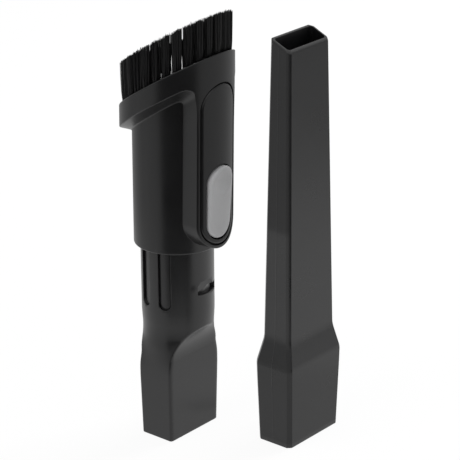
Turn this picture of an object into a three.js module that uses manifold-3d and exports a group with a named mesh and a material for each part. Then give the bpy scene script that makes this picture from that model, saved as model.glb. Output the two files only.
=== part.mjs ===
// Two vacuum-cleaner attachments that stand upright side by side: a dusting brush, whose bristled sleeve
// slides down its barrel when a grey button is pressed, and a long crevice nozzle. Millimetres, +Z up. Each
// tool stands on its connector, the tapered rectangular foot that plugs into the cleaner. The button faces
// -Y, and the origin is on the floor at the centre of the set's bounding box.
import * as THREE from "three";
import { LoftGeometry } from "three/addons/geometries/LoftGeometry.js";
import { mergeVertices } from "three/addons/utils/BufferGeometryUtils.js";
import Module from "manifold-3d";

const wasm = await Module();
wasm.setup();

// ---- Driving dimensions ----
const APART = [34.95, -53.2]; // from the brush barrel's axis to the crevice nozzle's, on the floor

const BARREL_R = 19; // round barrel, outside
const BORE_R = 16.2; // airway through the barrel
const WALL = 2.1; // wall of the connector feet
const SLIDE_GAP = 0.35; // clearance between barrel and sleeve
const TRAVEL = 33; // the sleeve's slide down the barrel

const FOOT_Y = 0.45; // the foot's section sits this far behind the barrel's axis
const FOOT_END = [18.7, 10.2]; // half width and half depth of the foot at the floor
const FOOT_TOP = [19.35, 10.65]; // the same where its taper ends
const FOOT_TAPER_Z = 34;
const ARCH_Z = 45.8; // the wide faces start to curve out here, up to an arched crease on the barrel
const ARCH_R = 23; // radius of that curve
const CLEAR_RATE = 0.062; // how fast the wide faces swing clear of the arch as they go up
const ROUND_FROM = 38; // the narrow faces turn from flat to round between here and ROUND_TO
const ROUND_TO = 58;

const MOUTH_Z = 195.8; // height of the slanted mouth plane over the barrel's axis
const MOUTH_SLOPE = 0.628; // the plane rises this much per mm towards -Y
const HEAD_R = 29.2; // round head that carries the bristles
const HEAD_Y = -1.7; // the head's axis is set towards the button side
const RIM = 1.3; // wall of the head's rim
const BAND = 10.9; // height of the head's upright band
const CHAMFER = 4.6; // drop of the sloped shoulder below the band
const SLEEVE_R = [22.6, 22.1]; // sleeve, outside, at its lower end and under the head
const SLEEVE_Z = 107.6; // lower end of the sleeve

const PLATE_HALF = 14.6; // half width of the raised plate down the button side
const PLATE_END_Z = 125.2; // centre of the plate's round lower end
const FLARE_Z = [197, 200.3]; // between these heights the plate's sides flare out under the head's band
const FLARE_HALF = 19;
const PLATE_TOP_Z = 208; // inside the head's band
const PANEL_HALF = 12.35; // half width of the cover let into the plate
const PANEL_Z = [125.3, 186.6]; // centres of its two round ends
const PANEL_GAP = 0.45; // shadow gap round the cover
const PANEL_THICK = 2;
const BUTTON_HALF = 9.1;
const BUTTON_Z = [124.9, 146.6]; // centres of its two round ends
const BUTTON_GAP = 0.45;
const BUTTON_BACK = -27.3; // the button's flat rear face
const DISH_R = 5.5; // thumb dish at the button's upper end
const DISH_DEPTH = 0.9;

const PIVOT = [-25, 136]; // y and z of the button's pivot pin
const PIN_R = 1.2;
const PIN_GAP = 0.15;
const PIN_HALF = 7.4;
const POCKET_Y = -21.9; // floor of the pocket behind the button
const POCKET_HALF = 10;
const LUG_HALF = 4; // half width of the button's pivot lug
const EAR = [4.5, 7.9]; // inner and outer faces of the sleeve's two pin ears
const EAR_Z = [133.5, 138.5]; // lower and upper faces of the ears and the lug

const HOOK_HALF = 4.4;
const HOOK_Z = 118; // flat lower face of the catch hook
const HOOK_TIP = 19.4; // the hook's tip stops this far from the barrel's axis
const WINDOW_Z = [117.2, 123.2]; // the sleeve's window for the hook
const NOTCH_HALF = 5.7;
const NOTCH_Z = 82.5; // shelf of the barrel's lower catch notch; the upper one is TRAVEL higher
const NOTCH_HIGH = 7.2;
const NOTCH_R = 17; // the notch leaves this much radius of wall
const NOTCH_BACK = 1.9; // height of the notch's upright back, below its ramp

const GROOVE_TURN = 19.5; // two guide grooves on each narrow side, this many degrees off its middle
const GROOVE_HALF = 3.45;
const GROOVE_FLOOR = 17.5;
const GROOVE_Z = [73.9, 128.2];
const RIB_HALF = 3.05;
const RIB_IN = 17.9;
const RIB_Z = [108.2, 125.6];

const CARRIER_Z = [-2, -6.2]; // top and bottom of the bristle ring, measured from the mouth plane
const CARRIER_R = [19.7, 27.5];
const TUFTS = 30;
const TUFT_RING_R = 25.85;
const TUFT_R = [1.5, 2.45]; // at the root and at the tip
const TUFT_OUT = 20.6; // the tips stand this far above the mouth plane
const TUFT_IN = 5.4; // the roots sit this far below it
const TUFT_HOLE_GAP = 0.3;

const SPRING_Z = 149;
const SPRING_COIL_R = 2.4;
const SPRING_WIRE_R = 0.35;
const SPRING_TURNS = 3.5;

// Crevice nozzle: height, half width and half depth of its sections, from the floor to the slanted tip.
const NOZZLE_SECTIONS = [
  [0, 20.3, 10.7],
  [36, 21.45, 11.5],
  [45.5, 21.5, 11.6],
  [59, 18.65, 8.6],
];
const NOZZLE_TIP = [218.6, 16.1, 6.15];
const NOZZLE_SLOPE = 0.456; // the tip plane rises this much per mm towards +Y
const NOZZLE_WALL = 1.9;
const CORNER_R = 1.5;

const BLACK = { color: 0x26272a, roughness: 0.5, metalness: 0 };
const PANEL_BLACK = { color: 0x232427, roughness: 0.45, metalness: 0 };
const GREY = { color: 0x9b9ca0, roughness: 0.42, metalness: 0.1 };
const BRISTLE = { color: 0x18191b, roughness: 0.7, metalness: 0 };
const STEEL = { color: 0xb9bcc0, roughness: 0.3, metalness: 1 };

// ---- Solids ----
// A three.js geometry as a manifold-3d solid. Points that fall together are merged and the triangles that
// vanish with them are left out.
function solid(geometry) {
  const g = new THREE.BufferGeometry().copy(geometry);
  g.deleteAttribute("normal");
  g.deleteAttribute("uv");
  const merged = mergeVertices(g, 1e-4);
  const index = merged.index.array;
  const kept = [];
  for (let i = 0; i < index.length; i += 3) {
    const [a, b, c] = [index[i], index[i + 1], index[i + 2]];
    if (a !== b && b !== c && c !== a) kept.push(a, b, c);
  }
  const vertProperties = new Float32Array(merged.attributes.position.array);
  const triVerts = new Uint32Array(kept);
  return new wasm.Manifold(new wasm.Mesh({ numProp: 3, vertProperties, triVerts }));
}

function mesh(name, shape, look) {
  const m = shape.getMesh();
  const g = new THREE.BufferGeometry();
  g.setAttribute("position", new THREE.BufferAttribute(new Float32Array(m.vertProperties), 3));
  g.setIndex(new THREE.BufferAttribute(new Uint32Array(m.triVerts), 1));
  const flat = g.toNonIndexed();
  flat.computeVertexNormals();
  const made = new THREE.Mesh(flat, new THREE.MeshStandardMaterial(look));
  made.name = name;
  return made;
}

const loft = (sections) => solid(new LoftGeometry(sections, { capStart: true, capEnd: true }));

// A tube with a wall: the sections run up the outside, over the end, down the inside and back to the start.
function shell(outside, inside) {
  return solid(new LoftGeometry([...outside, ...[...inside].reverse(), outside[0]]));
}

// Points round a circle. height gives z from y, so that the ring can lie in a slanted plane.
function circle(radius, y, height, sides = 64) {
  return Array.from({ length: sides }, (_, i) => {
    const a = (i / sides) * Math.PI * 2;
    const py = y + radius * Math.sin(a);
    return new THREE.Vector3(radius * Math.cos(a), py, height(py));
  });
}

// An upright slot outline in the XZ plane, round at both ends.
function slot(half, z0, z1) {
  const s = new THREE.Shape();
  s.absarc(0, z1, half, 0, Math.PI, false);
  s.absarc(0, z0, half, Math.PI, Math.PI * 2, false);
  s.closePath();
  return s;
}

// The outline carried back along Y, from y to y - depth.
function prismY(shape, y, depth, curveSegments = 10) {
  const g = new THREE.ExtrudeGeometry(shape, { depth, bevelEnabled: false, curveSegments });
  g.rotateX(Math.PI / 2);
  return solid(g.translate(0, y, 0));
}

// An outline drawn as [y, z] points, carried along X on both sides of the middle.
function prismX(points, half, x = 0) {
  const shape = new THREE.Shape(points.map(([y, z]) => new THREE.Vector2(y, z)));
  const g = new THREE.ExtrudeGeometry(shape, { depth: 2 * half, bevelEnabled: false });
  g.translate(0, 0, -half);
  const turn = new THREE.Matrix4().makeBasis(
    new THREE.Vector3(0, 1, 0),
    new THREE.Vector3(0, 0, 1),
    new THREE.Vector3(1, 0, 0),
  );
  return solid(g.applyMatrix4(turn).translate(x, 0, 0));
}

function rodX(radius, half, y, z, x = 0, sides = 20) {
  const g = new THREE.CylinderGeometry(radius, radius, 2 * half, sides);
  g.rotateZ(Math.PI / 2);
  return solid(g.translate(x, y, z));
}

const blend = (from, to, t) => from + (to - from) * Math.min(Math.max(t, 0), 1);
const smooth = (t) => {
  const c = Math.min(Math.max(t, 0), 1);
  return c * c * (3 - 2 * c);
};
const mouth = (offset) => (y) => MOUTH_Z + offset - MOUTH_SLOPE * y;

// ---- Connector tube: rectangular foot, round barrel and slanted inner nozzle in one moulding ----
const CORNER_EASE = 2.6; // the foot's faces start to round into a corner where they are this close together
const CORNER = (Math.atan2(FOOT_TOP[1], FOOT_TOP[0]) * 180) / Math.PI;

// Angles round the tube in degrees: every 6, and every 3 at the foot's four corners.
const nearCorner = (degrees) => Math.abs(Math.abs(((degrees + 90) % 180) - 90) - CORNER) < 9;
const AROUND = Array.from({ length: 120 }, (_, i) => i * 3).filter((d) => d % 6 === 0 || nearCorner(d));

// A section of the tube's skin, taken in by inset. In the foot it is a rectangle with eased corners. Between
// ROUND_FROM and ROUND_TO its narrow faces turn into the round barrel, and its wide faces swing clear, so
// that the arch cuts them.
function tubeRing(z, inset, round, height = () => z) {
  const width = blend(FOOT_END[0], FOOT_TOP[0], z / FOOT_TAPER_Z) - inset;
  const depth = blend(FOOT_END[1], FOOT_TOP[1], z / FOOT_TAPER_Z) - inset;
  const clear = CLEAR_RATE * Math.max(z - ARCH_Z, 0) ** 2;
  const turned = smooth((z - ROUND_FROM) / (ROUND_TO - ROUND_FROM));
  return AROUND.map((degrees) => {
    const [cos, sin] = [Math.cos((degrees * Math.PI) / 180), Math.sin((degrees * Math.PI) / 180)];
    const narrow = blend(width / Math.max(Math.abs(cos), 0.4), round, turned);
    const wide = (depth + clear + FOOT_Y * Math.sign(sin)) / Math.max(Math.abs(sin), 0.01);
    const ease = Math.max(CORNER_EASE - Math.abs(narrow - wide), 0) ** 2 / (4 * CORNER_EASE);
    const r = turned < 1 ? Math.min(narrow, wide) - ease : round;
    return new THREE.Vector3(r * cos, r * sin, height(r * sin));
  });
}

// The arch seen from the side: the wide faces go up and swing out round two large rollers, one behind and
// one in front, past the barrel's surface. Below ARCH_Z the outline stands clear of the foot.
function arch(inset) {
  const away = FOOT_TOP[1] + ARCH_R;
  const swing = [0, 6, 12, 18, 24, 30, 36, 42, 48, 54, 60].map((degrees) => {
    const a = (degrees * Math.PI) / 180;
    return [away - (ARCH_R + inset) * Math.cos(a), ARCH_Z + (ARCH_R + inset) * Math.sin(a)];
  });
  const top = MOUTH_Z + 25;
  const half = [[swing[0][0] + 1, -5], [swing[0][0] + 1, ARCH_Z - 1], ...swing, [swing[10][0], top]];
  const front = half.map(([y, z]) => [FOOT_Y - y, z]);
  const back = half.map(([y, z]) => [FOOT_Y + y, z]).reverse();
  return prismX([...back, ...front], BARREL_R + 15);
}

const SKIN_Z = [FOOT_TAPER_Z, 38, 41, 44, ARCH_Z, 48, 50, 52, 54, 56, ROUND_TO];
const NOZZLE_IN = -1.8; // the inner nozzle ends this far below the mouth plane
function tubeBody(inset, round, bottom, top) {
  const rings = [bottom, ...SKIN_Z].map((z) => tubeRing(z, inset, round));
  rings.push(tubeRing(MOUTH_Z, inset, round, mouth(NOZZLE_IN + top)));
  return loft(rings).intersect(arch(inset));
}

// A guide groove or rib: an upright slot shape pushed in towards the barrel's axis at an angle from +X.
function radialSlot(half, [z0, z1], inner, outer, degrees) {
  const made = prismY(slot(half, z0 + half, z1 - half), -inner, outer - inner, 8);
  return made.rotate([0, 0, 90 + degrees]);
}
const GROOVE_ANGLES = [-GROOVE_TURN, GROOVE_TURN, 180 - GROOVE_TURN, 180 + GROOVE_TURN];

// A catch notch: a ramp runs in and down from the barrel's surface to a flat shelf.
function notch(z) {
  const outside = -BARREL_R - 1;
  const top = z + NOTCH_HIGH;
  const outline = [[outside, z], [-NOTCH_R, z], [-NOTCH_R, z + NOTCH_BACK], [-BARREL_R, top], [outside, top]];
  return prismX(outline, NOTCH_HALF);
}

let tube = tubeBody(0, BARREL_R, 0, 0).subtract(tubeBody(WALL, BORE_R, -1, 2));
for (const degrees of GROOVE_ANGLES) {
  tube = tube.subtract(radialSlot(GROOVE_HALF, GROOVE_Z, GROOVE_FLOOR, BARREL_R + 3, degrees));
}
tube = tube.subtract(notch(NOTCH_Z)).subtract(notch(NOTCH_Z + TRAVEL));

// ---- Brush sleeve: slides on the barrel and carries the head, the plate, the cover and the button ----
// The plate's curved front leans back a little towards its lower end: y of the curve's axis at a height.
const DRAFT_Z = 190; // the lean starts here
const FRONT_Z = [100, DRAFT_Z, 222]; // past both ends of the plate
const frontAxis = (z) => HEAD_Y + 0.0115 * Math.max(DRAFT_Z - z, 0);

// Everything inside the plate's curved front, taken in by depth; proud leans it outwards for the button.
function behindFront(depth, proud = () => 0) {
  const rings = FRONT_Z.map((z) => circle(HEAD_R - depth, frontAxis(z) - proud(z), () => z));
  return loft(rings);
}

const sleeveBody = loft([
  circle(SLEEVE_R[0], 0, () => SLEEVE_Z),
  circle(SLEEVE_R[1], 0, mouth(-BAND - CHAMFER)),
  circle(SLEEVE_R[1], 0, mouth(-9)),
]);
const head = loft([
  circle(SLEEVE_R[1], 0, mouth(-BAND - CHAMFER)),
  circle(HEAD_R, HEAD_Y, mouth(-BAND)),
  circle(HEAD_R, HEAD_Y, mouth(0)),
]);

// The plate runs up into the head. Its upper corners meet the band through a small radius.
const plateShape = new THREE.Shape();
plateShape.absarc(0, PLATE_END_Z, PLATE_HALF, Math.PI, Math.PI * 2, false);
plateShape.lineTo(PLATE_HALF, FLARE_Z[0]);
plateShape.quadraticCurveTo(PLATE_HALF, FLARE_Z[1], FLARE_HALF, FLARE_Z[1]);
plateShape.lineTo(FLARE_HALF, PLATE_TOP_Z);
plateShape.lineTo(-FLARE_HALF, PLATE_TOP_Z);
plateShape.lineTo(-FLARE_HALF, FLARE_Z[1]);
plateShape.quadraticCurveTo(-PLATE_HALF, FLARE_Z[1], -PLATE_HALF, FLARE_Z[0]);
plateShape.closePath();
const plate = prismY(plateShape, -12, 24, 12).intersect(behindFront(0));

const bore = loft([
  circle(BARREL_R + SLIDE_GAP, 0, () => SLEEVE_Z - 5),
  circle(BARREL_R + SLIDE_GAP, 0, mouth(5)),
]);
const headHollow = loft([
  circle(SLEEVE_R[1] - 2, 0, mouth(-BAND - CHAMFER + 1)),
  circle(HEAD_R - 2, HEAD_Y, mouth(-BAND + 1.6)),
  circle(HEAD_R - 2, HEAD_Y, mouth(CARRIER_Z[1] - 0.3)),
  circle(HEAD_R - RIM, HEAD_Y, mouth(CARRIER_Z[1] - 0.3)),
  circle(HEAD_R - RIM, HEAD_Y, mouth(5)),
]);

const recessFloor = behindFront(PANEL_THICK + 0.3);
const recess = prismY(slot(PANEL_HALF + PANEL_GAP, ...PANEL_Z), -20, 16).subtract(recessFloor);
const pocket = prismY(slot(POCKET_HALF, BUTTON_Z[0], BUTTON_Z[1]), POCKET_Y, 10);
const hookWindow = prismX(
  [[POCKET_Y - 1, WINDOW_Z[0]], [-15, WINDOW_Z[0]], [-15, WINDOW_Z[1]], [POCKET_Y - 1, WINDOW_Z[1]]],
  HOOK_HALF + 0.6,
);

let sleeve = sleeveBody.add(head).add(plate).subtract(bore).subtract(headHollow).subtract(recess);
sleeve = sleeve.subtract(pocket).subtract(hookWindow);
for (const degrees of GROOVE_ANGLES) {
  sleeve = sleeve.add(radialSlot(RIB_HALF, RIB_Z, RIB_IN, BARREL_R + 1.6, degrees));
}
const earFront = PIVOT[0] - PIN_R - PIN_GAP - 0.55;
const earRoot = POCKET_Y + 1;
for (const side of [-1, 1]) {
  const outline = [[earFront, EAR_Z[0]], [earRoot, EAR_Z[0]], [earRoot, EAR_Z[1]], [earFront, EAR_Z[1]]];
  sleeve = sleeve.add(prismX(outline, (EAR[1] - EAR[0]) / 2, (side * (EAR[0] + EAR[1])) / 2));
}
sleeve = sleeve.subtract(rodX(PIN_R + PIN_GAP, EAR[1] + 0.5, PIVOT[0], PIVOT[1]));

// ---- Side panel: thin curved cover with the button's opening ----
const panelBlank = prismY(slot(PANEL_HALF, ...PANEL_Z), -20, 16).intersect(behindFront(0));
const buttonHole = prismY(slot(BUTTON_HALF + BUTTON_GAP, ...BUTTON_Z), -15, 22);
const panel = panelBlank.subtract(behindFront(PANEL_THICK)).subtract(buttonHole);

// ---- Release button: a rocker with a thumb dish, a pivot lug and a catch hook behind ----
const buttonProud = (z) => 0.15 + 0.0175 * (z - 128);
const dishSphereR = (DISH_R ** 2 + DISH_DEPTH ** 2) / (2 * DISH_DEPTH);
const dishFront = frontAxis(BUTTON_Z[1]) - HEAD_R - buttonProud(BUTTON_Z[1]);
const dish = new THREE.SphereGeometry(dishSphereR, 64, 48);
dish.translate(0, dishFront + DISH_DEPTH - dishSphereR, BUTTON_Z[1]);
const buttonBlank = prismY(slot(BUTTON_HALF, ...BUTTON_Z), BUTTON_BACK, 8);
let button = buttonBlank.intersect(behindFront(0, buttonProud)).subtract(solid(dish));
const lugBack = PIVOT[0] + PIN_R + 1.1;
const lugRoot = BUTTON_BACK - 0.5;
const lug = [[lugRoot, EAR_Z[0]], [lugBack, EAR_Z[0]], [lugBack, EAR_Z[1]], [lugRoot, EAR_Z[1]]];
const hook = [
  [lugRoot, HOOK_Z],
  [-HOOK_TIP, HOOK_Z],
  [-HOOK_TIP, HOOK_Z + 1.4],
  [-HOOK_TIP - 1.9, HOOK_Z + 3.6],
  [lugRoot, HOOK_Z + 4.1],
];
button = button.add(prismX(lug, LUG_HALF)).add(prismX(hook, HOOK_HALF));
button = button.subtract(rodX(PIN_R + PIN_GAP, LUG_HALF + 1, PIVOT[0], PIVOT[1]));

const pin = rodX(PIN_R, PIN_HALF, PIVOT[0], PIVOT[1]);

// ---- Return spring: a coil between the pocket's floor and the button's thumb end, along Y ----
class Coil extends THREE.Curve {
  getPoint(t, target = new THREE.Vector3()) {
    const a = t * SPRING_TURNS * Math.PI * 2;
    const from = POCKET_Y - 0.35 - SPRING_WIRE_R;
    const to = BUTTON_BACK + 0.35 + SPRING_WIRE_R;
    const [x, z] = [SPRING_COIL_R * Math.cos(a), SPRING_Z + SPRING_COIL_R * Math.sin(a)];
    return target.set(x, blend(from, to, t), z);
  }
}
const wire = new THREE.Shape();
wire.absarc(0, 0, SPRING_WIRE_R, 0, Math.PI * 2, false);
const springSteps = Math.round(SPRING_TURNS * 16);
const spring = solid(
  new THREE.ExtrudeGeometry(wire, { steps: springSteps, extrudePath: new Coil(), curveSegments: 3 }),
);

// ---- Bristle ring and tufts ----
let carrier = shell(
  [circle(CARRIER_R[1], HEAD_Y, mouth(CARRIER_Z[1])), circle(CARRIER_R[1], HEAD_Y, mouth(CARRIER_Z[0]))],
  [circle(CARRIER_R[0], 0, mouth(CARRIER_Z[1])), circle(CARRIER_R[0], 0, mouth(CARRIER_Z[0]))],
);
// One tuft stands parallel to Z: its root is in the ring, and its tip is trimmed parallel to the mouth.
function tuftRing(radius, angle, out) {
  const x = TUFT_RING_R * Math.cos(angle);
  const y = HEAD_Y + TUFT_RING_R * Math.sin(angle);
  return circle(radius, y, mouth(out), 10).map((p) => p.setX(p.x + x));
}
const tufts = [];
for (let i = 0; i < TUFTS; i += 1) {
  const angle = ((i + 0.5) / TUFTS) * Math.PI * 2;
  const holeR = TUFT_R[0] + TUFT_HOLE_GAP;
  const hole = [-TUFT_IN - TUFT_HOLE_GAP, 3].map((out) => tuftRing(holeR, angle, out));
  carrier = carrier.subtract(loft(hole));
  const rings = [-TUFT_IN, 0, 8, TUFT_OUT].map((out) => {
    const spread = smooth(Math.max(out, 0) / TUFT_OUT);
    return tuftRing(blend(TUFT_R[0], TUFT_R[1], spread), angle, out);
  });
  tufts.push(loft(rings));
}

// ---- Crevice nozzle: one hollow moulding, a flared connector and a long tapering flat duct ----
function nozzleRing(halfX, halfY, cornerR, height) {
  return [0, 1, 2, 3].flatMap((quarter) =>
    [0, 1, 2, 3, 4].map((step) => {
      const a = ((quarter + step / 4) * Math.PI) / 2;
      const x = (quarter === 0 || quarter === 3 ? 1 : -1) * (halfX - cornerR) + cornerR * Math.cos(a);
      const y = (quarter < 2 ? 1 : -1) * (halfY - cornerR) + cornerR * Math.sin(a);
      return new THREE.Vector3(x, y, height(y));
    }),
  );
}
const tipPlane = (y) => NOZZLE_TIP[0] + NOZZLE_SLOPE * y;
function nozzleSkin(inset, cornerR) {
  const rings = NOZZLE_SECTIONS.map(([z, x, y]) => nozzleRing(x - inset, y - inset, cornerR, () => z));
  rings.push(nozzleRing(NOZZLE_TIP[1] - inset, NOZZLE_TIP[2] - inset, cornerR, tipPlane));
  return rings;
}
const nozzle = shell(nozzleSkin(0, CORNER_R), nozzleSkin(NOZZLE_WALL, 0.6));

// ---- The scene ----
// The head reaches furthest towards -X and +Y, and the nozzle's flare towards +X and -Y.
const flare = NOZZLE_SECTIONS[2];
const brushX = (HEAD_R - flare[1] - APART[0]) / 2;
const brushY = (flare[2] - APART[1] - HEAD_R - HEAD_Y) / 2;

const brush = new THREE.Group();
brush.position.set(brushX, brushY, 0);
brush.add(mesh("connector_tube", tube, BLACK));
brush.add(mesh("brush_sleeve", sleeve, BLACK));
brush.add(mesh("side_panel", panel, PANEL_BLACK));
brush.add(mesh("release_button", button, GREY));
brush.add(mesh("pivot_pin", pin, STEEL));
brush.add(mesh("return_spring", spring, STEEL));
brush.add(mesh("bristle_ring", carrier, BLACK));
tufts.forEach((tuft, i) => brush.add(mesh(`tuft_${String(i + 1).padStart(2, "0")}`, tuft, BRISTLE)));

const crevice = new THREE.Group();
crevice.position.set(brushX + APART[0], brushY + APART[1], 0);
crevice.add(mesh("crevice_nozzle", nozzle, BLACK));

const group = new THREE.Group();
group.add(brush, crevice);
export default group;
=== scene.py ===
"""Two vacuum-cleaner attachments that stand upright side by side: a dusting brush, whose bristled sleeve
slides down its barrel when a grey button is pressed, and a long crevice nozzle."""

import math
import random

import bmesh
import bpy
from mathutils import Matrix, Vector


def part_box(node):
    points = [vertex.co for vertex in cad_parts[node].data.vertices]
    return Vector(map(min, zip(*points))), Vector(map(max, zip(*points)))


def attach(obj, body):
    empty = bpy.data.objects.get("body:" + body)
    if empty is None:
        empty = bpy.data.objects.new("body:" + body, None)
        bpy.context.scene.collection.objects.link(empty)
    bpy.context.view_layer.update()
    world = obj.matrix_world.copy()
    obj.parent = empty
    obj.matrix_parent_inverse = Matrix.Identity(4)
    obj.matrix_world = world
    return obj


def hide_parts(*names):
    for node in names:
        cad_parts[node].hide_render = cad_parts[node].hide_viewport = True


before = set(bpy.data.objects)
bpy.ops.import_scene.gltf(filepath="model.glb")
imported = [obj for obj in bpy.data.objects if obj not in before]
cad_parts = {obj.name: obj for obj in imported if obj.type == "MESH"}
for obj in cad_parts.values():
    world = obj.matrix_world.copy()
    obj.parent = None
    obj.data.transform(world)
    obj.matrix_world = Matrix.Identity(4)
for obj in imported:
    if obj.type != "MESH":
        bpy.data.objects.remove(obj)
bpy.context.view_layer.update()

# ----------------------------------------------------------------------------------------------------------
# Connector tube
# One black ABS moulding: the tapered rectangular foot that plugs into the cleaner, the round barrel that the
# sleeve slides on, four guide grooves, two catch notches and the slanted inner nozzle at the top.
# ----------------------------------------------------------------------------------------------------------
MM = 0.001  # shapes are drawn in millimetres round each tool's own axis, then set in their place in metres
tube_low, tube_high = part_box("connector_tube")
BRUSH_AT = Vector(((tube_low.x + tube_high.x) / 2, (tube_low.y + tube_high.y) / 2, 0))

BARREL_R = 19.2
BORE_R = 16.2
FOOT_WALL = 2.1
TRAVEL = 33.0  # the sleeve's slide down the barrel
FOOT_Y = 0.12  # the foot sits this far behind the barrel's axis
FOOT_END = (18.9, 10.35)  # half width and half depth at the floor
FOOT_TOP = (19.7, 10.85)  # the same where the taper ends
TAPER_Z = 34.0
ROUND_FROM, ROUND_TO = 38.0, 58.0  # the narrow faces turn from flat to round between these heights
ARCH_Z, ARCH_R = 45.8, 23.0  # the wide faces swing out round a roller of this radius from this height
ARCH_FADE = 0.062  # and over the roller the foot's flat faces give way this fast, in mm per mm squared
CORNER_EASE = 2.6  # how far the foot's corners are rounded off
CREASE_EASE, CREASE_SPAN = (0.05, 0.9), 8.0  # the arched crease grows softer over this height
WAIST, WAIST_Z, WAIST_SPAN = 0.45, 61.0, 10.0  # the barrel is a little narrower where it leaves the foot
RIM_ROUND = 0.4
MOUTH_Z, MOUTH_SLOPE = 195.8, 0.628  # the slanted mouth: its height on the axis, and its rise per mm to -Y
NOZZLE_END = -1.8  # the inner nozzle ends this far below the mouth
LEVEL_SKIN, LEVEL_BORE = 130.0, 100.0  # above these heights the mesh's rings slant more and more to the mouth
GROOVE_TURN, GROOVE_HALF, GROOVE_DEPTH = 19.5, 3.3, 1.3
GROOVE_TURNS = (-GROOVE_TURN, GROOVE_TURN, 180 - GROOVE_TURN, 180 + GROOVE_TURN)  # degrees, from +X
GROOVE_Z = (74.8, 128.2)
SHELVES = (82.5, 82.5 + TRAVEL)  # heights of the two notches' lower edges
NOTCH_HALF = 5.7
RAMP = ((20.5, 1.8), (18.2, 1.8), (18.9, 6.9), (20.5, 7.8))  # a notch's ramp: radius, height above its shelf
SLIT_IN, SLIT_LIP, SLIT_OUT, SLIT_FALL = 16.8, 18.7, 21.0, 1.6  # radii, and the lower lip's outward fall
SLIT = (  # the slit along the ramp's foot: degrees from -Y towards +X, and its lower and upper edge
    (-16.5, 0.4, 1.6), (-14.5, 0.0, 2.2), (0, -0.3, 2.9), (6, -0.8, 4.2), (30, -1.4, 3.4), (41, -1.6, 3.2)
)
BOSS_X, BOSS_UP, BOSS_R, BOSS_HIGH = 6.0, 3.8, 3.6, 0.33  # a soft boss to either side of a ramp


def mix(a, b, t):
    return a + (b - a) * min(max(t, 0.0), 1.0)


def ease(t):
    t = min(max(t, 0.0), 1.0)
    return t * t * (3 - 2 * t)


def lesser(a, b, soft):
    """The smaller of two radii, with their meeting rounded off."""
    return min(a, b) - max(soft - abs(a - b), 0.0) ** 2 / (4 * soft)


def mouth(offset, y):
    return MOUTH_Z + offset - MOUTH_SLOPE * y


def loft(rings, closed=False):
    """Draws the first ring and pulls it through the others by its edges. A closed one ends where it began."""
    bm = bmesh.new()
    turn = bm.verts.layers.int.new("turn")
    bmesh.ops.create_circle(bm, segments=len(rings[0]), radius=1)
    for i, v in enumerate(bm.verts):
        v[turn] = i
        v.co = rings[0][i]
    edges = bm.edges[:]
    for ring in rings[1:] + (rings[:1] if closed else []):
        grown = bmesh.ops.extrude_edge_only(bm, edges=edges)["geom"]
        edges = [g for g in grown if isinstance(g, bmesh.types.BMEdge)]
        for v in (g for g in grown if isinstance(g, bmesh.types.BMVert)):
            v.co = ring[v[turn]]
    bm.verts.layers.int.remove(turn)
    bmesh.ops.remove_doubles(bm, verts=bm.verts, dist=1e-4)
    bmesh.ops.holes_fill(bm, edges=[e for e in bm.edges if e.is_boundary], sides=0)
    bmesh.ops.recalc_face_normals(bm, faces=bm.faces)
    return bm


def as_piece(bm, name):
    mesh = bpy.data.meshes.new(name)
    bm.to_mesh(mesh)
    bm.free()
    piece = bpy.data.objects.new(name, mesh)
    bpy.context.scene.collection.objects.link(piece)
    return piece


def work_on(piece, tool, operation="DIFFERENCE"):
    """Cuts a tool shape from a piece, or joins it on, and throws the tool away."""
    step = piece.modifiers.new("work", "BOOLEAN")
    step.object, step.operation, step.solver = tool, operation, "EXACT"
    shaped = bpy.data.meshes.new_from_object(piece.evaluated_get(bpy.context.evaluated_depsgraph_get()))
    piece.modifiers.clear()
    before, piece.data = piece.data, shaped
    for mesh in (before, tool.data):
        bpy.data.meshes.remove(mesh)


def settle(piece, at, sharp=38):
    """Sets a piece drawn in millimetres in its place, with its soft faces smooth and its hard edges crisp."""
    piece.data.transform(Matrix.Translation(at) @ Matrix.Scale(MM, 4))
    piece.data.shade_smooth()
    piece.data.set_sharp_from_angle(angle=math.radians(sharp))
    piece.modifiers.new("flat_faces_stay_flat", "WEIGHTED_NORMAL").keep_sharp = True
    return piece


AROUND_TUBE = 240


def tube_ring(z, inset, round_r, flat=None):
    """A section of the tube's skin, taken in by inset. flat gives the height of each point from its y."""
    width = mix(FOOT_END[0], FOOT_TOP[0], z / TAPER_Z) - inset
    depth = mix(FOOT_END[1], FOOT_TOP[1], z / TAPER_Z) - inset
    over = max(z - ARCH_Z, 0.0)
    round_r -= WAIST * ease(1 - abs(z - WAIST_Z) / WAIST_SPAN)
    turned = ease((z - ROUND_FROM) / (ROUND_TO - ROUND_FROM))
    swing = FOOT_TOP[1] + ARCH_R - math.sqrt(max((ARCH_R + inset) ** 2 - over**2, 0.0))
    ring = []
    for i in range(AROUND_TUBE):
        a = 2 * math.pi * i / AROUND_TUBE
        c, s = math.cos(a), math.sin(a)
        along, across = max(abs(c), 0.4), max(abs(s), 0.01)  # kept off 0, where the other face is the nearer
        r = round_r
        off = FOOT_Y * (1 if s > 0 else -1)
        if turned < 1:
            narrow = mix(width / along, round_r, turned)
            r = lesser(narrow, (depth + ARCH_FADE * over**2 + off) / across, CORNER_EASE)
        if 0 < over < ARCH_R:
            r = lesser(r, (swing + off) / across, mix(*CREASE_EASE, over / CREASE_SPAN))
        if inset == 0 and s < 0:
            for shelf in SHELVES:
                for side in (-1, 1):
                    reach = math.hypot(r * c - side * BOSS_X, z - shelf - BOSS_UP) / BOSS_R
                    r += BOSS_HIGH * ease(1 - reach)
        ring.append(Vector((r * c, r * s, z if flat is None else flat(r * s))))
    return ring


def steps(start, end, count):
    return [start + (end - start) * i / count for i in range(count + 1)]


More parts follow.
